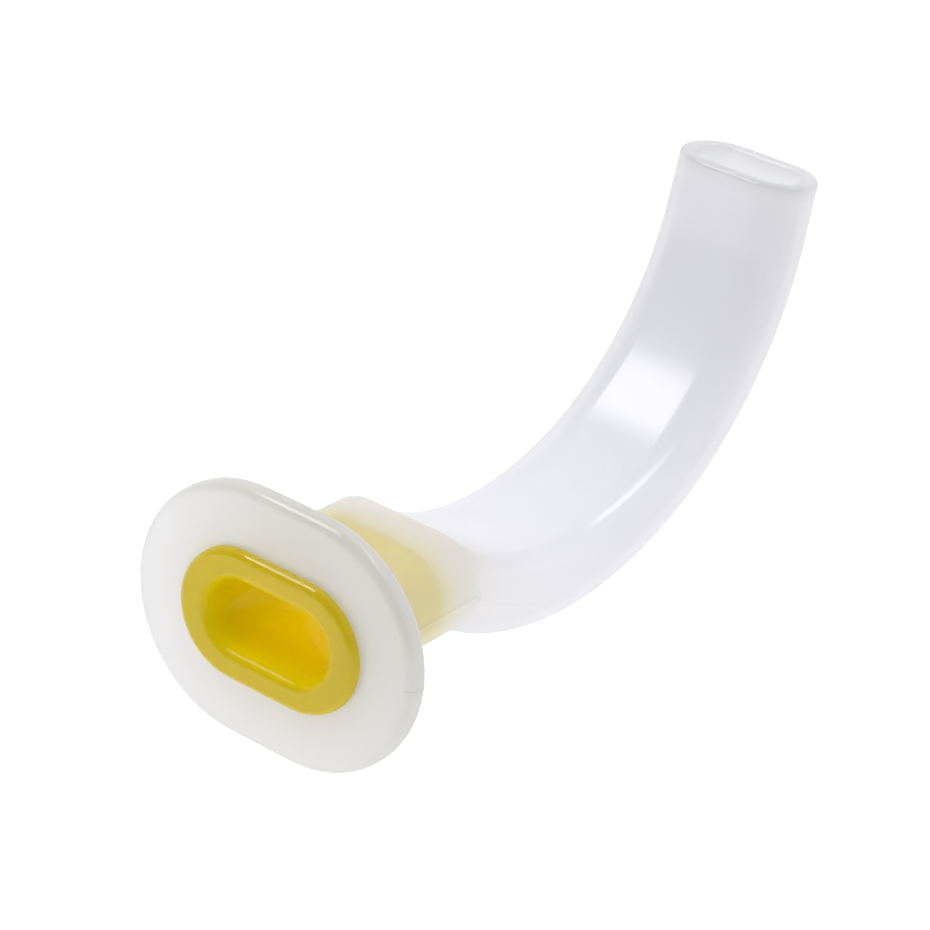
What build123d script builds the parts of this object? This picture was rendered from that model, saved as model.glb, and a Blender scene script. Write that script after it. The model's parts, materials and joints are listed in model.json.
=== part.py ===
from build123d import *
import math
import os

# Oropharyngeal (Guedel) airway, nominal size 3: 90 mm, colour code yellow. Millimetres.
#
# Each piece is drawn with Y along the bite portion, from the front of the flange (Y = 0) into
# the mouth, X across, and Z towards the hollow side of the curve. Both pieces are then tilted
# together, so that the airway lies on a table on the flange's lower edge and the channel's belly.

# Flange: a stadium plate that stays in front of the lips.
FLANGE_WIDTH = 37.6
FLANGE_HEIGHT = 29.4
FLANGE_THICKNESS = 2.8
FLANGE_EDGE_RADIUS = 1.1

# Bite portion: the straight sleeve behind the flange, between the teeth.
SLEEVE_WIDTH = 21.6
SLEEVE_HEIGHT = 11.8
SLEEVE_END = 22.7
SLEEVE_ROOT_RADIUS = 0.8

# Channel: a flattened tube that leaves the sleeve towards the convex side, then curves round.
# Its straight lead-in and tail run past the planes that trim its two ends.
CHANNEL_START_ANGLE = -33.0
CHANNEL_START_DROP = 0.2
CHANNEL_BENDS = ((45.0, 57.0), (36.0, 60.0))  # radius, turn in degrees
CHANNEL_TAIL = 7.0
CHANNEL_OVERRUN = 6.0
CHANNEL_START_WIDTH = 21.2
CHANNEL_START_HEIGHT = 9.6
CHANNEL_TIP_WIDTH = 18.3
CHANNEL_TIP_HEIGHT = 11.1
CHANNEL_WALL = 1.8
CHANNEL_SPANS = 16
TIP_FACE_ANGLE = 87.5
TIP_RIM_RADIUS = 0.6

# Bite insert: a hard stadium tube inside the sleeve, with a rim let into the flange's face.
BORE_WIDTH = 16.3
BORE_HEIGHT = 8.4
BARREL_WALL = 0.9
BARREL_WIDTH = BORE_WIDTH + 2 * BARREL_WALL
BARREL_HEIGHT = BORE_HEIGHT + 2 * BARREL_WALL
BARREL_END = 17.6
RIM_WIDTH = 23.8
RIM_HEIGHT = 15.2
RIM_STANDS_PROUD = 1.05
RIM_SUNK = 1.2
RIM_EDGE_RADIUS = 0.9
RIM_LIP_RADIUS = 1.2

# Throat: the passage from the insert's end to the channel, a little smaller than both.
THROAT_STEP = 0.3

# Slack for picking out edges, and how far a cut runs past an open face.
PICK_SLACK = 0.05
CUT_OVERRUN = 2.0


def across_at(y):
    """The plane across the bite portion at a distance behind the flange's front face."""
    return Plane(origin=(0, y, 0), x_dir=(1, 0, 0), z_dir=(0, 1, 0))


def stadium_block(width, height, start, end):
    """A straight block of stadium section between two distances along the bite portion."""
    return extrude(across_at(start) * SlotOverall(width, height), end - start)


def outline_edges(solid, y, width, height):
    """The edges of one stadium outline, of a known size, in one plane across the bite portion."""
    in_plane = solid.edges().filter_by_position(Axis.Y, y - PICK_SLACK, y + PICK_SLACK)
    return [
        edge
        for edge in in_plane
        if abs(abs(edge.center().X) - width / 2) < PICK_SLACK
        or abs(abs(edge.center().Z) - height / 2) < PICK_SLACK
    ]


def channel_centreline():
    """A straight lead-in, tangent arcs and a straight tail."""
    angle = math.radians(CHANNEL_START_ANGLE)
    start_y = SLEEVE_END - CHANNEL_OVERRUN * math.cos(angle)
    start_z = -CHANNEL_START_DROP - CHANNEL_OVERRUN * math.sin(angle)
    with BuildLine(Plane.YZ) as route:
        piece = Line((start_y, start_z), (SLEEVE_END, -CHANNEL_START_DROP))
        for radius, turn in CHANNEL_BENDS:
            piece = JernArc(piece @ 1, piece % 1, radius, turn)
        Line(piece @ 1, piece @ 1 + (CHANNEL_TAIL + CHANNEL_OVERRUN) * (piece % 1))
    return route.wire()


def channel_block(inset):
    """The channel's form, smaller all round by an inset, with its lead-in and tail untrimmed."""
    route = channel_centreline()
    channel_length = route.length - 2 * CHANNEL_OVERRUN
    sections = []
    for step in range(CHANNEL_SPANS + 1):
        share = step / CHANNEL_SPANS
        run = (share * route.length - CHANNEL_OVERRUN) / channel_length
        run = min(max(run, 0), 1)
        width = CHANNEL_START_WIDTH + run * (CHANNEL_TIP_WIDTH - CHANNEL_START_WIDTH)
        height = CHANNEL_START_HEIGHT + run * (CHANNEL_TIP_HEIGHT - CHANNEL_START_HEIGHT)
        plane = Plane(origin=route @ share, x_dir=(1, 0, 0), z_dir=route % share)
        sections.append(plane * SlotOverall(width - 2 * inset, height - 2 * inset))
    return split(loft(sections), across_at(SLEEVE_END), keep=Keep.TOP)


def tip_plane():
    """The plane of the open tip, facing out of the airway."""
    route = channel_centreline()
    angle = math.radians(TIP_FACE_ANGLE)
    tip = route @ (1 - CHANNEL_OVERRUN / route.length)
    return Plane(origin=tip, x_dir=(1, 0, 0), z_dir=(0, math.cos(angle), math.sin(angle)))


def cavity():
    """All that is hollow in the body: the insert's seat, then the passage to the tip."""
    rim_seat = stadium_block(RIM_WIDTH, RIM_HEIGHT, -CUT_OVERRUN, RIM_SUNK)
    barrel_seat = stadium_block(BARREL_WIDTH, BARREL_HEIGHT, 0, BARREL_END)
    # the channel is cut on the slant where it meets the sleeve, so its opening is taller there
    slant = math.cos(math.radians(CHANNEL_START_ANGLE))
    throat_width = CHANNEL_START_WIDTH - 2 * CHANNEL_WALL - THROAT_STEP
    throat_height = (CHANNEL_START_HEIGHT - 2 * CHANNEL_WALL) / slant - THROAT_STEP
    throat_end = across_at(SLEEVE_END) * SlotOverall(throat_width, throat_height)
    throat = loft(
        [
            across_at(BARREL_END) * SlotOverall(BORE_WIDTH, BORE_HEIGHT),
            Pos(0, 0, -CHANNEL_START_DROP) * throat_end,
        ]
    )
    return rim_seat + barrel_seat + throat + channel_block(CHANNEL_WALL)


def airway_body():
    """Flange, sleeve and channel: one translucent moulding."""
    plate = stadium_block(FLANGE_WIDTH, FLANGE_HEIGHT, 0, FLANGE_THICKNESS)
    plate = fillet(plate.edges().filter_by(Plane.XZ), FLANGE_EDGE_RADIUS)
    solid = plate + stadium_block(SLEEVE_WIDTH, SLEEVE_HEIGHT, FLANGE_THICKNESS / 2, SLEEVE_END)
    root = outline_edges(solid, FLANGE_THICKNESS, SLEEVE_WIDTH, SLEEVE_HEIGHT)
    solid = fillet(root, SLEEVE_ROOT_RADIUS)
    solid += split(channel_block(0), tip_plane(), keep=Keep.BOTTOM)
    solid -= cavity()
    face = tip_plane()
    rims = [edge for edge in solid.edges() if abs(face.to_local_coords(edge.center()).Z) < PICK_SLACK]
    return fillet(rims, TIP_RIM_RADIUS)


def bite_insert():
    """The hard insert: a rim on the flange's face and a barrel inside the sleeve."""
    rim = stadium_block(RIM_WIDTH, RIM_HEIGHT, -RIM_STANDS_PROUD, RIM_SUNK)
    rim = fillet(outline_edges(rim, -RIM_STANDS_PROUD, RIM_WIDTH, RIM_HEIGHT), RIM_EDGE_RADIUS)
    solid = rim + stadium_block(BARREL_WIDTH, BARREL_HEIGHT, 0, BARREL_END)
    solid -= stadium_block(BORE_WIDTH, BORE_HEIGHT, -CUT_OVERRUN, BARREL_END + CUT_OVERRUN)
    lip = outline_edges(solid, -RIM_STANDS_PROUD, BORE_WIDTH, BORE_HEIGHT)
    return fillet(lip, RIM_LIP_RADIUS)


def rest_tilt():
    """The tilt, in degrees, that levels the flange's lower edge with the channel's belly.

    Seen from the side, the edge and the belly are two arcs, and the table is the line that
    touches both from below.
    """
    angle = math.radians(CHANNEL_START_ANGLE)
    bend_radius = CHANNEL_BENDS[0][0]
    belly_height = (CHANNEL_START_HEIGHT + CHANNEL_TIP_HEIGHT) / 2
    edge_y = FLANGE_THICKNESS - FLANGE_EDGE_RADIUS
    edge_z = FLANGE_EDGE_RADIUS - FLANGE_HEIGHT / 2
    centre_y = SLEEVE_END - bend_radius * math.sin(angle)
    centre_z = -CHANNEL_START_DROP + bend_radius * math.cos(angle)
    across, up = centre_y - edge_y, centre_z - edge_z
    level = bend_radius + belly_height / 2 - FLANGE_EDGE_RADIUS
    return math.degrees(math.acos(level / math.hypot(across, up)) - math.atan2(across, up))


def main():
    tilt = Rot(-rest_tilt(), 0, 0)
    pieces = {"airway_body": tilt * airway_body(), "bite_insert": tilt * bite_insert()}
    box = pieces["airway_body"].bounding_box().add(pieces["bite_insert"].bounding_box())
    middle = box.center()
    to_origin = Pos(-middle.X, -middle.Y, -box.min.Z)
    os.makedirs("parts", exist_ok=True)
    for name, piece in pieces.items():
        export_step(to_origin * piece, f"parts/{name}.step")
    print("flange front centre", (to_origin * tilt).position, "tilt", rest_tilt())


main()
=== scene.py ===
import json
import math

import bpy
from mathutils import Matrix, Quaternion, Vector


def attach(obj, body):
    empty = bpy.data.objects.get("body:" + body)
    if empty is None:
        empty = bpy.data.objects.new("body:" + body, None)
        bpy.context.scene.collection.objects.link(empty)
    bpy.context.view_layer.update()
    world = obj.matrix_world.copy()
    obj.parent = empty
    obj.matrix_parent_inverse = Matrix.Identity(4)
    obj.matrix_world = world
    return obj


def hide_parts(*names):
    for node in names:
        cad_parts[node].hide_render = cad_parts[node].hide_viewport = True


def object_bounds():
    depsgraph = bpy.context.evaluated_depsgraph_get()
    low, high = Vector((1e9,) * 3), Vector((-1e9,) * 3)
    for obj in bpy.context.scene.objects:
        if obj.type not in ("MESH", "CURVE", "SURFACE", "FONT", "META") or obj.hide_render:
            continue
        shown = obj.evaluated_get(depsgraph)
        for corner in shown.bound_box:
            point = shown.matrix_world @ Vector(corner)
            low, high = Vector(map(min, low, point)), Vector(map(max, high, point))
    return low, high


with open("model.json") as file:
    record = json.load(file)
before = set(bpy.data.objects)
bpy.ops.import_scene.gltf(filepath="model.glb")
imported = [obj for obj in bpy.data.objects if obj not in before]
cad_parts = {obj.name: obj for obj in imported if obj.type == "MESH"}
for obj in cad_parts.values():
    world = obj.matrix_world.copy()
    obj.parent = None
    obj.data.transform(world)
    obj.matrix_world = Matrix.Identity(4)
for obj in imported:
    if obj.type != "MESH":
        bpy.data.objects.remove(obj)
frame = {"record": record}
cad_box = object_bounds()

# Oropharyngeal (Guedel) airway. The two CAD pieces are replaced by finer skins of the same sizes.
# Sizes are in millimetres, in the buccal frame: Y runs from the flange's front into the mouth,
# X across, Z towards the hollow side of the curve. Points become metres when they are placed.
MM = 0.001

# Flange, sleeve and channel, as in the CAD
FLANGE_WIDTH = 37.6
FLANGE_HEIGHT = 29.4
FLANGE_THICKNESS = 2.8
FLANGE_EDGE_RADIUS = 1.1
SLEEVE_WIDTH = 21.6
SLEEVE_HEIGHT = 11.8
SLEEVE_END = 22.7
SLEEVE_ROOT_RADIUS = 0.8
CHANNEL_START_ANGLE = math.radians(-33)
CHANNEL_START_DROP = 0.2
CHANNEL_BENDS = ((45.0, math.radians(57)), (36.0, math.radians(60)))  # radius, turn
CHANNEL_TAIL = 7.0
CHANNEL_LENGTH = sum(radius * turn for radius, turn in CHANNEL_BENDS) + CHANNEL_TAIL
CHANNEL_START = (21.2, 9.6)
CHANNEL_TIP = (18.3, 11.1)
CHANNEL_WALL = 1.8
TIP_FACE_ANGLE = math.radians(87.5)
TIP_RIM_RADIUS = 0.6
THROAT_STEP = 0.3

# Bite insert, as in the CAD
BORE_WIDTH = 16.3
BORE_HEIGHT = 8.4
BARREL_WALL = 0.9
BARREL_END = 17.6
RIM_WIDTH = 23.8
RIM_HEIGHT = 15.2
RIM_STANDS_PROUD = 1.05
RIM_SUNK = 1.2
RIM_EDGE_RADIUS = 0.9
RIM_LIP_RADIUS = 1.2

# Finish that the CAD leaves out
PARTING_RIDGE = 0.05
PARTING_HALF_WIDTH = 0.16
PARTING_TURN = math.radians(2.8)
PARTING_ON_CHANNEL = 0.2
RIDGE_FADE = 1.5
FACE_SLACK = 0.01
FIT_GAP = 0.02
SEAT_EDGE_RADIUS = 0.06
SLEEVE_END_RADIUS = 0.3
BARREL_EDGE_RADIUS = 0.25
SLANT_REACH = 10.0
SKIN_INSET = 0.07

# Dimming and painted shade: each 1 takes away the next line's share of the light that the plastic's
# colour passes; below 0 it paints light on
DIMMING_AND_SHADE_LOSS = 0.06
SLEEVE_DIMMING = 0.4
# Painted shade over one upper corner of the flange and of the insert's rim, where the sleeve stands
# behind
CORNER_SHADE = 1.7
CORNER_SHADE_RISE = (-14.0, 20.0)  # across + up, from the flange's far lower corner to the upper corner with the most painted shade
FLANGE_SHADE_STARTS = 0.2
# Painted shade over the channel's last stretch towards the tip, and more on the tip's rim
TIP_SHADE = 0.7
TIP_SHADE_REACH = 30.0
TIP_RIM_SHADE = 1.2
# Painted shade at one end of the bore, and painted light over the rest of it
BORE_END_SHADE = 4.9
BORE_END_SHADE_RISE = (-2.0, -8.0)  # across, towards the bore's end with painted shade
BORE_PAINTED_LIGHT = 1.6  # painted light: taken off the dimming all over the bore, so more light passes
BORE_LIP_FADE = (0.1, 1.0)  # how far outside the bore its colour starts and ends giving way

# Painted glow: how much of the yellow insert's colour is painted into the body where light through the
# insert shows, from 0 to 1, and over which lengths; the light that really passes through the walls adds
# to it
SLEEVE_GLOW = 0.12
BARREL_GLOW = 0.25
BARREL_END_GLOW = 0.55  # on top of the barrel's
BARREL_GLOW_RISE = (6.0, 15.0)  # along
BARREL_GLOW_FADE = 1.5
LOW_GLOW = 0.1
LOW_GLOW_RISE = (-5.0, 0.0)  # up
SLEEVE_GLOW_REACH = 1.0
RIM_GLOW = 0.25
RIM_GLOW_REACH = 0.4
# Warm painted shade in the flange's shaded corner
CORNER_WARM_SHADE = 0.1

# Mesh density
ARC_STEPS = 32
FLAT_STEPS = 8
FILLET_STEPS = 8
SMALL_FILLET_STEPS = 4
FACE_STEPS = 14
SLEEVE_STEPS = 10
MOUTH_STEPS = 4
SKIRT_STEPS = 3
CHANNEL_STEPS = 60
SLANT_ROUNDS = 6
EVEN_NORMALS_WEIGHT = 80

# Camera: where it stands round its aim point, in degrees and millimetres
CAMERA_AIM = (-4.612, -5.959, 17.33)
CAMERA_AZIMUTH = 33.05
CAMERA_ELEVATION = 28.48
CAMERA_ROLL = 6.96
CAMERA_DISTANCE = 334.12
CAMERA_LENS = 112.0


# ---------------------------------------------------------------- buccal frame to row frame

def buccal_matrix():
    """The buccal frame's place in the row, read from the flange's front mount."""
    mount = next(m for m in frame["record"]["mounts"] if m["name"] == "flange_front_face")
    inward = -Vector(mount["axis"])
    place = Vector(mount["pos_m"])
    place.x = 0
    across = Vector((1, 0, 0))
    up = across.cross(inward)
    turn = Matrix((across, inward, up)).transposed().to_4x4()
    return Matrix.Translation(place) @ turn @ Matrix.Scale(MM, 4)


TO_ROW = buccal_matrix()


# ---------------------------------------------------------------- outlines and rings

def ease(low, high, value):
    """0 at low, 1 at high, smooth between them and level beyond them."""
    share = min(max((value - low) / (high - low), 0.0), 1.0)
    return share * share * (3 - 2 * share)


def outline(width, height, ridge=0.0):
    """Points round a stadium, as (across, up), with a parting ridge near the middle of each end."""
    radius = height / 2
    straight = width / 2 - radius
    flank = PARTING_HALF_WIDTH / radius
    turns = [math.pi * (step / ARC_STEPS - 0.5) for step in range(ARC_STEPS + 1)]
    turns = sorted(turns + [PARTING_TURN - flank, PARTING_TURN, PARTING_TURN + flank])
    points = []
    for side in (1, -1):
        for turn in turns:
            reach = radius + (ridge if turn == PARTING_TURN else 0)
            points.append((side * (straight + reach * math.cos(turn)), side * reach * math.sin(turn)))
        for step in range(1, FLAT_STEPS):
            points.append((side * straight * (1 - 2 * step / FLAT_STEPS), side * radius))
    return points


def parting_steps():
    """Which points of any outline lie on the parting line, found where the ends' radius is 1."""
    crest = math.sin(PARTING_TURN)
    return [step for step, (_, up) in enumerate(outline(4, 2)) if math.isclose(abs(up), crest)]


def skin_outline(width, height, ridge=PARTING_RIDGE):
    """An outer outline of the body, whose parting ridge stays just inside the nominal width."""
    return outline(width - 2 * SKIN_INSET, height - 2 * SKIN_INSET, ridge)


def plain_skin_outline(width, height):
    """An outer outline of the body where the parting ridge has faded away."""
    return skin_outline(width, height, 0.0)


def straight_ring(points, along, drop=0.0):
    """A ring across the bite portion."""
    return [Vector((across, along, up - drop)) for across, up in points]


def rounding(shape, width, height, centre, radius, start, end, steps=FILLET_STEPS):
    """Rings round a fillet. Its centre is (outwards of the outline, along) and 0 degrees is outwards."""
    rings = []
    for step in range(steps + 1):
        turn = math.radians(start + (end - start) * step / steps)
        grow = 2 * (centre[0] + radius * math.cos(turn))
        along = centre[1] + radius * math.sin(turn)
        rings.append(straight_ring(shape(width + grow, height + grow), along))
    return rings


def between(first, last, steps):
    """Rings strictly between two rings."""
    rings = []
    for step in range(1, steps):
        share = step / steps
        rings.append([a.lerp(b, share) for a, b in zip(first, last)])
    return rings


def centreline(run):
    """The channel's centreline at a distance from the sleeve: along, up and direction."""
    along, up, angle = SLEEVE_END, -CHANNEL_START_DROP, CHANNEL_START_ANGLE
    for radius, turn in CHANNEL_BENDS:
        step = min(max(run, 0.0), radius * turn)
        turned = angle + step / radius
        along += radius * (math.sin(turned) - math.sin(angle))
        up += radius * (math.cos(angle) - math.cos(turned))
        angle = turned
        run -= step
    return along + run * math.cos(angle), up + run * math.sin(angle), angle


def channel_point(run, across, height):
    """A point at a height off the centreline, towards the hollow side."""
    along, up, angle = centreline(run)
    return Vector((across, along - height * math.sin(angle), up + height * math.cos(angle)))


def slant(run, height, face_angle):
    """How much further along a point at a height meets the plane that cuts the channel at a run."""
    along, up, _ = centreline(run)
    found = run
    for _ in range(SLANT_ROUNDS):
        point = channel_point(found, 0, height)
        miss = (point.y - along) * math.cos(face_angle) + (point.z - up) * math.sin(face_angle)
        found -= miss / math.cos(centreline(found)[2] - face_angle)
    return found - run


def channel_ring(run, inset, shape):
    """A ring of the channel, square to it in the middle and in the plane of each end's cut."""
    share = run / CHANNEL_LENGTH
    width, height = (a + share * (b - a) - 2 * inset for a, b in zip(CHANNEL_START, CHANNEL_TIP))
    near_start = 1 - ease(0, SLANT_REACH, run)
    near_tip = 1 - ease(0, SLANT_REACH, CHANNEL_LENGTH - run)
    ring = []
    for across, up in shape(width, height):
        at_start = near_start * slant(0, up, 0)
        at_tip = near_tip * slant(CHANNEL_LENGTH, up, TIP_FACE_ANGLE)
        ring.append(channel_point(run + at_start + at_tip, across, up))
    return ring


# ---------------------------------------------------------------- values at a point of a skin

def outside(point, width, height):
    """How far a point lies outside a stadium round the bite portion's axis."""
    radius = height / 2
    beyond = max(abs(point.x) - (width / 2 - radius), 0.0)
    return max(math.hypot(beyond, point.z) - radius, 0.0)


def painted_corner_shade(point):
    """Painted shade towards one upper corner of the flange, where the sleeve stands behind it; the same
    mask paints that corner warmer.
    """
    return CORNER_SHADE * ease(*CORNER_SHADE_RISE, point.x + point.z)


def bore_depth(point):
    """1 on the bore's wall, easing to 0 over the lip."""
    return 1 - ease(*BORE_LIP_FADE, outside(point, BORE_WIDTH, BORE_HEIGHT))


def insert_painted_shade_and_light(point):
    """Painted shade on the insert's rim towards the flange's shaded corner, and painted light over its
    bore but for one end, which gets painted shade.
    """
    in_bore = bore_depth(point)
    # Painted light over the bore, giving way to painted shade towards one end
    by_end = BORE_END_SHADE * ease(*BORE_END_SHADE_RISE, point.x) - BORE_PAINTED_LIGHT
    return painted_corner_shade(point) * (1 - in_bore) / 2 + in_bore * by_end


def before_sleeve_end(point):
    """1 in the flange and sleeve, easing to 0 over the rounded end of the sleeve."""
    return 1 - ease(SLEEVE_END - SLEEVE_END_RADIUS, SLEEVE_END, point.y)


def body_dimming_and_shade(point):
    """How much less light the body passes: more in the sleeve, and painted shade in the flange's corner
    and towards the tip and its rim.
    """
    if point.y < SLEEVE_END:
        flange_end = FLANGE_THICKNESS + SLEEVE_ROOT_RADIUS
        in_flange = 1 - ease(FLANGE_THICKNESS - FLANGE_SHADE_STARTS, flange_end, point.y)
        return SLEEVE_DIMMING * before_sleeve_end(point) + in_flange * painted_corner_shade(point)
    # Painted shade towards the tip, and more on its rim
    along, up, _ = centreline(CHANNEL_LENGTH)
    beside = (along - point.y) * math.cos(TIP_FACE_ANGLE) + (up - point.z) * math.sin(TIP_FACE_ANGLE)
    by_tip = 1 - ease(0, TIP_SHADE_REACH, beside)
    in_rim = 1 - ease(TIP_RIM_RADIUS / 3, TIP_RIM_RADIUS * 2, beside)
    return TIP_SHADE * by_tip + TIP_RIM_SHADE * in_rim


def painted_insert_glow(point):
    """Painted glow of the yellow insert in the body: round its rim, and in the sleeve, most over its
    barrel and weaker low on the sleeve; in the flange's corner it is warm painted shade.
    """
    if point.y < FLANGE_THICKNESS / 2:
        by_rim = math.exp(-outside(point, RIM_WIDTH, RIM_HEIGHT) / RIM_GLOW_REACH)
        return RIM_GLOW * by_rim + CORNER_WARM_SHADE * painted_corner_shade(point)
    fade = BARREL_GLOW_FADE / 2
    over_barrel = 1 - ease(BARREL_END - fade, BARREL_END + fade, point.y)
    deeper = BARREL_GLOW + BARREL_END_GLOW * ease(*BARREL_GLOW_RISE, point.y)
    # The painted glow is weaker low on the sleeve
    higher = LOW_GLOW + (1 - LOW_GLOW) * ease(*LOW_GLOW_RISE, point.z)
    by_sleeve = math.exp(-outside(point, SLEEVE_WIDTH, SLEEVE_HEIGHT) / SLEEVE_GLOW_REACH)
    in_sleeve = before_sleeve_end(point) * by_sleeve
    return in_sleeve * higher * (SLEEVE_GLOW + over_barrel * deeper)


def parting(point):
    """How plain the mould's parting line is: not on the flange's faces, and faint on the channel."""
    on_face = abs(point.x) < FLANGE_WIDTH / 2 - FLANGE_EDGE_RADIUS
    if on_face and point.y < FLANGE_THICKNESS + FACE_SLACK:
        return 0.0
    return 1.0 if point.y < SLEEVE_END else PARTING_ON_CHANNEL


def nowhere(point):
    """0 at every point, for a piece that has no parting line."""
    return 0.0


def loop_piece(name, rings, painted_light, dimming_and_shade, seam):
    """A closed skin through rings of equal counts, the last one joined to the first.

    The two functions after rings give the mesh's painted light and its dimming and painted shade at a
    point. seam gives how plain the parting line is.
    """
    count = len(rings[0])
    vertices = [TO_ROW @ point for ring in rings for point in ring]
    faces = []
    for row in range(len(rings)):
        here, there = row * count, (row + 1) % len(rings) * count
        for step in range(count):
            beside = (step + 1) % count
            faces.append((here + step, there + step, there + beside, here + beside))
    mesh = bpy.data.meshes.new(name)
    mesh.from_pydata(vertices, [], faces)
    mesh.shade_smooth()
    # Painted light, and dimming with painted shade, as point values
    for label, value in (("painted_light", painted_light), ("dimming_and_shade", dimming_and_shade)):
        marks = mesh.attributes.new(label, "FLOAT", "POINT")
        marks.data.foreach_set("value", [value(point) for ring in rings for point in ring])
    ends = parting_steps()
    seams = mesh.attributes.new("seam", "FLOAT", "POINT")
    for row, ring in enumerate(rings):
        for step in ends:
            seams.data[row * count + step].value = seam(ring[step])
    piece = bpy.data.objects.new(name, mesh)
    bpy.context.scene.collection.objects.link(piece)
    weighted = piece.modifiers.new("even_normals", "WEIGHTED_NORMAL")
    weighted.mode = "FACE_AREA"
    weighted.weight = EVEN_NORMALS_WEIGHT
    return piece


# ---------------------------------------------------------------- the two pieces

def airway_rings():
    """Out of the insert's seat, over the flange and sleeve, along the channel and back inside it."""
    rim = (RIM_WIDTH + 2 * FIT_GAP, RIM_HEIGHT + 2 * FIT_GAP)
    flange = (FLANGE_WIDTH, FLANGE_HEIGHT)
    sleeve = (SLEEVE_WIDTH, SLEEVE_HEIGHT)
    edge = FLANGE_EDGE_RADIUS
    root = SLEEVE_ROOT_RADIUS
    seat = SEAT_EDGE_RADIUS
    seat_edge = rounding(outline, *rim, (seat, seat), seat, 180, 270, SMALL_FILLET_STEPS)
    front_edge = rounding(skin_outline, *flange, (-edge, edge), edge, -90, 0)
    back_edge = rounding(skin_outline, *flange, (-edge, FLANGE_THICKNESS - edge), edge, 0, 90)
    sleeve_root = rounding(skin_outline, *sleeve, (root, FLANGE_THICKNESS + root), root, -90, -180)
    rings = [straight_ring(outline(*rim), RIM_SUNK + FIT_GAP)]
    rings += seat_edge + between(seat_edge[-1], front_edge[0], FACE_STEPS) + front_edge
    rings += back_edge + between(back_edge[-1], sleeve_root[0], FACE_STEPS) + sleeve_root

    before_end = straight_ring(skin_outline(*sleeve), SLEEVE_END - RIDGE_FADE)
    shoulder = straight_ring(plain_skin_outline(*sleeve), SLEEVE_END - SLEEVE_END_RADIUS)
    start = channel_ring(0, 0, plain_skin_outline)
    rings += between(sleeve_root[-1], before_end, SLEEVE_STEPS) + [before_end]
    for step in range(FILLET_STEPS // 2):
        turn = math.pi / FILLET_STEPS * step
        inwards = 1 - math.cos(turn)
        along = SLEEVE_END - SLEEVE_END_RADIUS * (1 - math.sin(turn))
        ring = [a.lerp(b, inwards) for a, b in zip(shoulder, start)]
        rings.append([Vector((point.x, along, point.z)) for point in ring])

    reach = CHANNEL_LENGTH - TIP_RIM_RADIUS
    runs = [reach * step / CHANNEL_STEPS for step in range(CHANNEL_STEPS)]
    turns = [math.pi / 2 * step / FILLET_STEPS for step in range(FILLET_STEPS + 1)]
    curl = [
        (reach + TIP_RIM_RADIUS * math.sin(turn), TIP_RIM_RADIUS * (1 - math.cos(turn)))
        for turn in turns
    ]
    rings += [channel_ring(run, 0, plain_skin_outline) for run in runs]
    rings += [channel_ring(run, inset, plain_skin_outline) for run, inset in curl]
    rings += [channel_ring(run, CHANNEL_WALL - inset, outline) for run, inset in reversed(curl)]
    rings += [channel_ring(run, CHANNEL_WALL, outline) for run in reversed(runs)]

    slanted = math.cos(CHANNEL_START_ANGLE)
    throat_width = CHANNEL_START[0] - 2 * CHANNEL_WALL - THROAT_STEP
    throat_height = (CHANNEL_START[1] - 2 * CHANNEL_WALL) / slanted - THROAT_STEP
    throat = straight_ring(outline(throat_width, throat_height), SLEEVE_END, CHANNEL_START_DROP)
    mouth = straight_ring(outline(BORE_WIDTH, BORE_HEIGHT), BARREL_END + FIT_GAP)
    gap = 2 * (BARREL_WALL + FIT_GAP)
    barrel = outline(BORE_WIDTH + gap, BORE_HEIGHT + gap)
    bottom = straight_ring(barrel, BARREL_END + FIT_GAP)
    top = straight_ring(barrel, RIM_SUNK + FIT_GAP)
    rings += [throat] + between(throat, mouth, MOUTH_STEPS) + [mouth]
    return rings + [bottom] + between(bottom, top, SLEEVE_STEPS) + [top]


def insert_rings():
    """Forward along the bore, over the lip and rim, and back along the barrel."""
    bore = (BORE_WIDTH, BORE_HEIGHT)
    rim = (RIM_WIDTH, RIM_HEIGHT)
    barrel = (BORE_WIDTH + 2 * BARREL_WALL, BORE_HEIGHT + 2 * BARREL_WALL)
    small = BARREL_EDGE_RADIUS
    few = SMALL_FILLET_STEPS
    lip_centre = (RIM_LIP_RADIUS, RIM_LIP_RADIUS - RIM_STANDS_PROUD)
    edge_centre = (-RIM_EDGE_RADIUS, RIM_EDGE_RADIUS - RIM_STANDS_PROUD)
    lip = rounding(outline, *bore, lip_centre, RIM_LIP_RADIUS, 180, 270)
    edge = rounding(outline, *rim, edge_centre, RIM_EDGE_RADIUS, -90, 0)
    heel = rounding(outline, *barrel, (-small, BARREL_END - small), small, 0, 90, few)
    mouth = rounding(outline, *bore, (small, BARREL_END - small), small, 90, 180, few)
    skirt = straight_ring(outline(*rim), RIM_SUNK)
    collar = straight_ring(outline(*barrel), RIM_SUNK)
    rings = lip + between(lip[-1], edge[0], FACE_STEPS) + edge
    rings += between(edge[-1], skirt, SKIRT_STEPS) + [skirt, collar]
    rings += between(collar, heel[0], SLEEVE_STEPS) + heel + mouth
    return rings + between(mouth[-1], lip[0], SLEEVE_STEPS)


# ---------------------------------------------------------------- materials

PLASTIC_IOR = 1.5
MOST_GLOSS = 0.15
BORE_GLOSS = 0.3
AHEAD_ROUGHNESS = 0.6
AHEAD_IOR = 1.12
AHEAD_SHARE = 0.25
CLOUDINESS = 0.01
SEAM_SHADE = 0.12
STREAK_STRETCH = (1.0, 0.25, 0.25)
STREAK_DETAIL = 3.0
GRAIN_DETAIL = 4.0
GRAIN_SHARE = 0.35
GRAIN_DEPTH = 0.002 * MM


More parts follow.
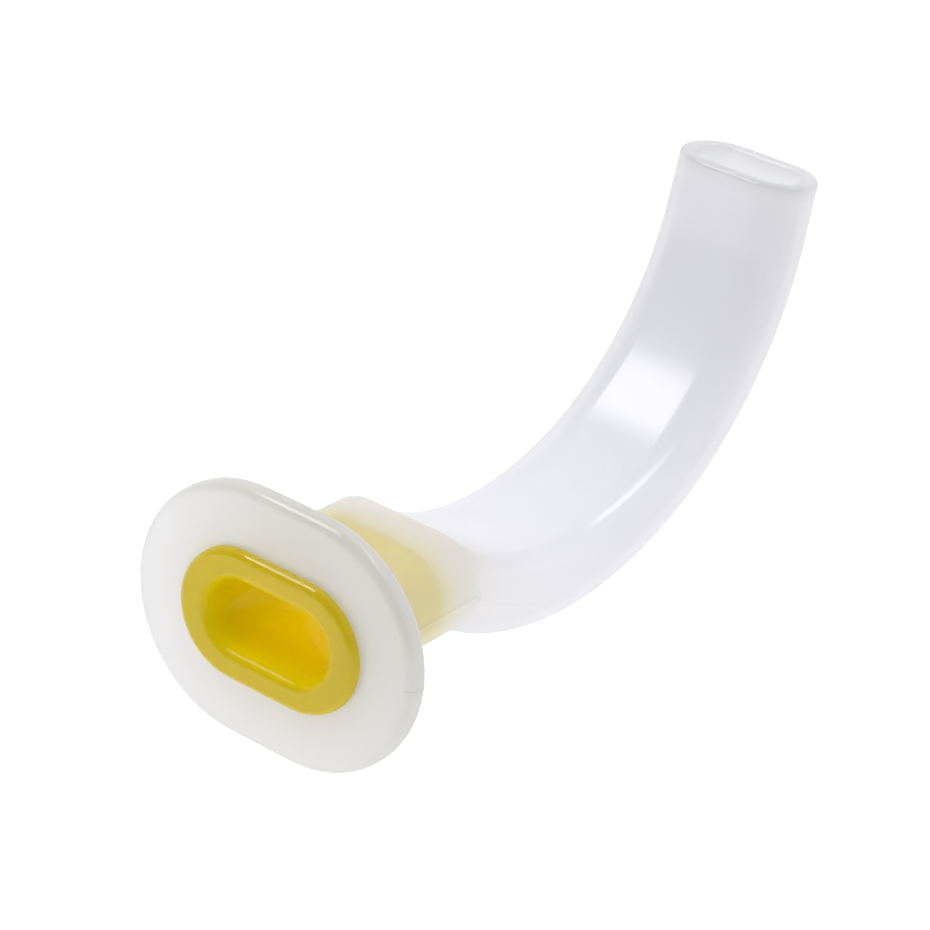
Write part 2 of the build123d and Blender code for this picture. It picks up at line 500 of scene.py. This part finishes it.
def new_material(name):
    """A material with an empty node tree, and the function that adds a node to it."""
    material = bpy.data.materials.new(name)
    material.use_nodes = True
    tree = material.node_tree
    tree.nodes.clear()

    def add(kind, links=(), **settings):
        made = tree.nodes.new(kind)
        for key, value in settings.items():
            setattr(made, key, value)
        for socket, source in dict(links).items():
            if isinstance(source, bpy.types.NodeSocket):
                tree.links.new(source, made.inputs[socket])
            else:
                made.inputs[socket].default_value = source
        return made

    return material, add


def moulded_surface(add, streaks_per_m, grain_per_m):
    """Faint flow streaks and fine grain, as bump, and the streaks' own value."""
    place = add("ShaderNodeTexCoord").outputs["Object"]
    stretch = add("ShaderNodeMapping", {"Vector": place, "Scale": STREAK_STRETCH})
    streaks = add(
        "ShaderNodeTexNoise",
        {"Vector": stretch.outputs["Vector"], "Scale": streaks_per_m, "Detail": STREAK_DETAIL},
    ).outputs[0]
    grain = add(
        "ShaderNodeTexNoise",
        {"Vector": place, "Scale": grain_per_m, "Detail": GRAIN_DETAIL},
    ).outputs[0]
    both = add("ShaderNodeMix", {0: GRAIN_SHARE, 2: streaks, 3: grain}, data_type="FLOAT")
    bump = add("ShaderNodeBump", {"Height": both.outputs[0], "Distance": GRAIN_DEPTH, "Strength": 1.0})
    return bump.outputs["Normal"], streaks


def moulded_plastic(name, plain, tinted, tinted_gloss, rough, streaks_per_m, grain_per_m):
    """A satin or glossy skin over a body that reflects light diffusely and passes it softened.

    plain and tinted are each a reflected and a passed colour. The mesh's painted light leads from one
    to the other, and its dimming and painted shade lowers what passes; its seam darkens both.
    """
    material, add = new_material(name)
    normal, streaks = moulded_surface(add, streaks_per_m, grain_per_m)
    painted_light, seam, dimming_and_shade = (
        add("ShaderNodeAttribute", attribute_name=label).outputs["Fac"]
        for label in ("painted_light", "seam", "dimming_and_shade")
    )

    def scale_and_add(value, scale, added):
        return add("ShaderNodeMath", {0: value, 1: scale, 2: added}, operation="MULTIPLY_ADD").outputs[0]

    cloud = scale_and_add(streaks, -CLOUDINESS, 1.0)
    kept = scale_and_add(seam, -SEAM_SHADE, cloud)
    # Painted shade lowers what passes, and painted light below 0 raises it
    passed = scale_and_add(dimming_and_shade, -DIMMING_AND_SHADE_LOSS, kept)
    shades = []
    for first, second, share in zip(plain, tinted, (kept, passed)):
        shade = add("ShaderNodeMix", {0: painted_light, 6: [*first, 1], 7: [*second, 1]}, data_type="RGBA")
        scaled = add("ShaderNodeVectorMath", {0: shade.outputs[2], "Scale": share}, operation="SCALE")
        shades.append(scaled.outputs[0])
    reflected, let_through = shades
    smooth, dull = rough
    roughness = add("ShaderNodeMapRange", {"Value": streaks, "To Min": smooth, "To Max": dull}).outputs[0]
    body = add(
        "ShaderNodeBsdfPrincipled",
        {"Base Color": reflected, "Roughness": roughness, "Specular IOR Level": 0.0, "Normal": normal},
    )
    spread = add("ShaderNodeBsdfTranslucent", {"Color": let_through, "Normal": normal})
    ahead = add(
        "ShaderNodeBsdfRefraction",
        {"Color": let_through, "Roughness": AHEAD_ROUGHNESS, "IOR": AHEAD_IOR, "Normal": normal},
    )
    passing = add("ShaderNodeMixShader", {0: AHEAD_SHARE, 1: spread.outputs[0], 2: ahead.outputs[0]})
    inside = add("ShaderNodeAddShader", {0: body.outputs[0], 1: passing.outputs[0]})
    gloss = add("ShaderNodeBsdfGlossy", {"Roughness": roughness, "Normal": normal})
    edge_on = add("ShaderNodeFresnel", {"IOR": PLASTIC_IOR, "Normal": normal}).outputs[0]
    within = add("ShaderNodeNewGeometry").outputs["Backfacing"]
    outer = add("ShaderNodeMix", {0: within, 2: edge_on, 3: 0.0}, data_type="FLOAT").outputs[0]
    duller = scale_and_add(painted_light, tinted_gloss - 1, 1.0)
    glossy = add("ShaderNodeMath", {0: outer, 1: duller}, operation="MULTIPLY").outputs[0]
    shine = add("ShaderNodeMath", {0: glossy, 1: MOST_GLOSS}, operation="MINIMUM").outputs[0]
    skin = add("ShaderNodeMixShader", {0: shine, 1: inside.outputs[0], 2: gloss.outputs[0]})
    add("ShaderNodeOutputMaterial", {"Surface": skin.outputs[0]})
    return material


def polyethylene():
    """Milky, translucent moulding with a satin skin."""
    plain = ((0.20, 0.20, 0.205), (0.775, 0.775, 0.788))
    # Painted glow of the yellow insert where it shows through the body
    insert_glow_shades = ((0.20, 0.20, 0.165), (0.782, 0.797, 0.64))
    return moulded_plastic(
        "milky_polyethylene",
        plain,
        insert_glow_shades,
        tinted_gloss=1.0,
        rough=(0.10, 0.18),
        streaks_per_m=400.0,
        grain_per_m=2500.0,
    )


def yellow_plastic():
    """Hard glossy yellow, a little translucent."""
    plain = ((0.345, 0.296, 0.012), (0.61, 0.538, 0.004))
    # The bore's colours are painted light: brighter and more saturated than the rim's, for light that
    # comes through from behind
    bore = ((0.43, 0.372, 0.002), (0.598, 0.53, 0.002))
    return moulded_plastic(
        "yellow_gloss_plastic",
        plain,
        bore,
        tinted_gloss=BORE_GLOSS,
        rough=(0.03, 0.06),
        streaks_per_m=260.0,
        grain_per_m=1800.0,
    )


def floor_material():
    """Pale, matt studio floor."""
    material, add = new_material("pale_floor")
    place = add("ShaderNodeTexCoord").outputs["Object"]
    cloud = add("ShaderNodeTexNoise", {"Vector": place, "Scale": FLOOR_CLOUDS_PER_M}).outputs[0]
    dim, bright = ((shade, shade, shade, 1) for shade in FLOOR_SHADES)
    shade = add("ShaderNodeMix", {0: cloud, 6: dim, 7: bright}, data_type="RGBA")
    shader = add(
        "ShaderNodeBsdfPrincipled",
        {
            "Base Color": shade.outputs[2],
            "Roughness": FLOOR_ROUGHNESS,
            "Specular IOR Level": 0.0,
            "Emission Color": (1, 1, 1, 1),
            "Emission Strength": FLOOR_GLOW,
        },
    )
    add("ShaderNodeOutputMaterial", {"Surface": shader.outputs[0]})
    return material


# ---------------------------------------------------------------- studio

FLOOR_HALF_SIZE = 4.0
FLOOR_GLOW = 0.9
FLOOR_SHADES = (0.28, 0.32)
FLOOR_CLOUDS_PER_M = 3.0
FLOOR_ROUGHNESS = 0.9
WORLD_BACK = 1.05
WORLD_FRONT = 0.05
WORLD_GRADE = (-0.5, 0.9)
WORLD_DARK_AZIMUTH = 4.0
WORLD_FRONT_RISE = 0.3
SOFTBOX_DISTANCE = 0.8
SOFTBOX_FADE = 0.35
KEY_DIRECTION = (-0.40, -0.25, 0.88)
KEY_SIZE = (0.64, 0.27)
KEY_SPIN = -32.2
KEY_RADIANCE = 6.7
STRIP_DIRECTION = (0.27, 0.40, 0.877)
STRIP_SIZE = (0.85, 0.14)
STRIP_SPIN = 158.8
STRIP_RADIANCE = 4.5
MOST_BOUNCES = 32
PLASTIC_BOUNCES = 24


def add_floor():
    """A wide pale floor under the object."""
    mesh = bpy.data.meshes.new("floor")
    half = FLOOR_HALF_SIZE
    corners = [(-half, -half, 0), (half, -half, 0), (half, half, 0), (-half, half, 0)]
    mesh.from_pydata(corners, [], [(0, 1, 2, 3)])
    floor = bpy.data.objects.new("floor", mesh)
    bpy.context.scene.collection.objects.link(floor)
    mesh.materials.append(floor_material())


def fade_ends(light):
    """Dim a softbox towards its two ends, as its cloth does."""
    light.use_nodes = True
    tree = light.node_tree
    place = tree.nodes.new("ShaderNodeNewGeometry")
    split = tree.nodes.new("ShaderNodeSeparateXYZ")
    both = tree.nodes.new("ShaderNodeMath")
    both.operation = "MULTIPLY"
    tree.links.new(place.outputs["Parametric"], split.inputs[0])
    for end in (0, 1):
        rise = tree.nodes.new("ShaderNodeMapRange")
        rise.interpolation_type = "SMOOTHSTEP"
        rise.inputs["From Min"].default_value = end
        rise.inputs["From Max"].default_value = abs(end - SOFTBOX_FADE)
        tree.links.new(split.outputs["X"], rise.inputs["Value"])
        tree.links.new(rise.outputs["Result"], both.inputs[end])
    tree.links.new(both.outputs[0], tree.nodes["Emission"].inputs["Strength"])


def add_softbox(name, direction, size, spin, radiance):
    """A rectangular light that faces the middle of the object, turned about its own axis."""
    low, high = cad_box
    middle = (low + high) / 2
    light = bpy.data.lights.new(name, "AREA")
    light.shape = "RECTANGLE"
    light.size, light.size_y = size
    light.energy = radiance * math.pi * size[0] * size[1]
    fade_ends(light)
    holder = bpy.data.objects.new(name, light)
    towards = Vector(direction).normalized()
    holder.location = middle + towards * SOFTBOX_DISTANCE
    facing = towards.to_track_quat("Z", "Y") @ Quaternion((0, 0, 1), math.radians(spin))
    holder.rotation_euler = facing.to_euler()
    bpy.context.scene.collection.objects.link(holder)


def add_world():
    """Pale surroundings, darker in front of the flange."""
    world = bpy.data.worlds.new("studio")
    world.use_nodes = True
    tree = world.node_tree
    azimuth = math.radians(WORLD_DARK_AZIMUTH)
    towards = tree.nodes.new("ShaderNodeVectorMath")
    towards.operation = "DOT_PRODUCT"
    towards.inputs[1].default_value = (math.sin(azimuth), -math.cos(azimuth), WORLD_FRONT_RISE)
    grade = tree.nodes.new("ShaderNodeMapRange")
    grade.interpolation_type = "SMOOTHSTEP"
    grade.inputs["From Min"].default_value, grade.inputs["From Max"].default_value = WORLD_GRADE
    grade.inputs["To Min"].default_value = WORLD_BACK
    grade.inputs["To Max"].default_value = WORLD_FRONT
    place = tree.nodes.new("ShaderNodeTexCoord")
    tree.links.new(place.outputs["Generated"], towards.inputs[0])
    tree.links.new(towards.outputs["Value"], grade.inputs["Value"])
    tree.links.new(grade.outputs["Result"], tree.nodes["Background"].inputs["Strength"])
    tree.nodes["Background"].inputs["Color"].default_value = (1, 1, 1, 1)
    bpy.context.scene.world = world


def add_camera():
    """The camera, rolled a little about its own axis."""
    azimuth, elevation = math.radians(CAMERA_AZIMUTH), math.radians(CAMERA_ELEVATION)
    flat = math.cos(elevation)
    back = Vector((math.sin(azimuth) * flat, -math.cos(azimuth) * flat, math.sin(elevation)))
    data = bpy.data.cameras.new("camera")
    data.lens = CAMERA_LENS
    camera = bpy.data.objects.new("camera", data)
    camera.rotation_mode = "QUATERNION"
    camera.location = (Vector(CAMERA_AIM) + back * CAMERA_DISTANCE) * MM
    level = (-back).to_track_quat("-Z", "Y")
    camera.rotation_quaternion = level @ Quaternion((0, 0, 1), math.radians(CAMERA_ROLL))
    bpy.context.scene.collection.objects.link(camera)
    bpy.context.scene.camera = camera


add_camera()
add_world()
add_floor()
add_softbox("key", KEY_DIRECTION, KEY_SIZE, KEY_SPIN, KEY_RADIANCE)
add_softbox("strip", STRIP_DIRECTION, STRIP_SIZE, STRIP_SPIN, STRIP_RADIANCE)
bpy.context.scene.view_settings.view_transform = "Standard"
bpy.context.scene.cycles.max_bounces = MOST_BOUNCES
bpy.context.scene.cycles.diffuse_bounces = PLASTIC_BOUNCES
bpy.context.scene.cycles.transmission_bounces = PLASTIC_BOUNCES

airway = loop_piece("airway_skin", airway_rings(), painted_insert_glow, body_dimming_and_shade, parting)
airway.data.materials.append(polyethylene())
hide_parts("airway_body")
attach(airway, "root")

insert = loop_piece("bite_insert_skin", insert_rings(), bore_depth, insert_painted_shade_and_light, nowhere)
insert.data.materials.append(yellow_plastic())
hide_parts("bite_insert")
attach(insert, "root")
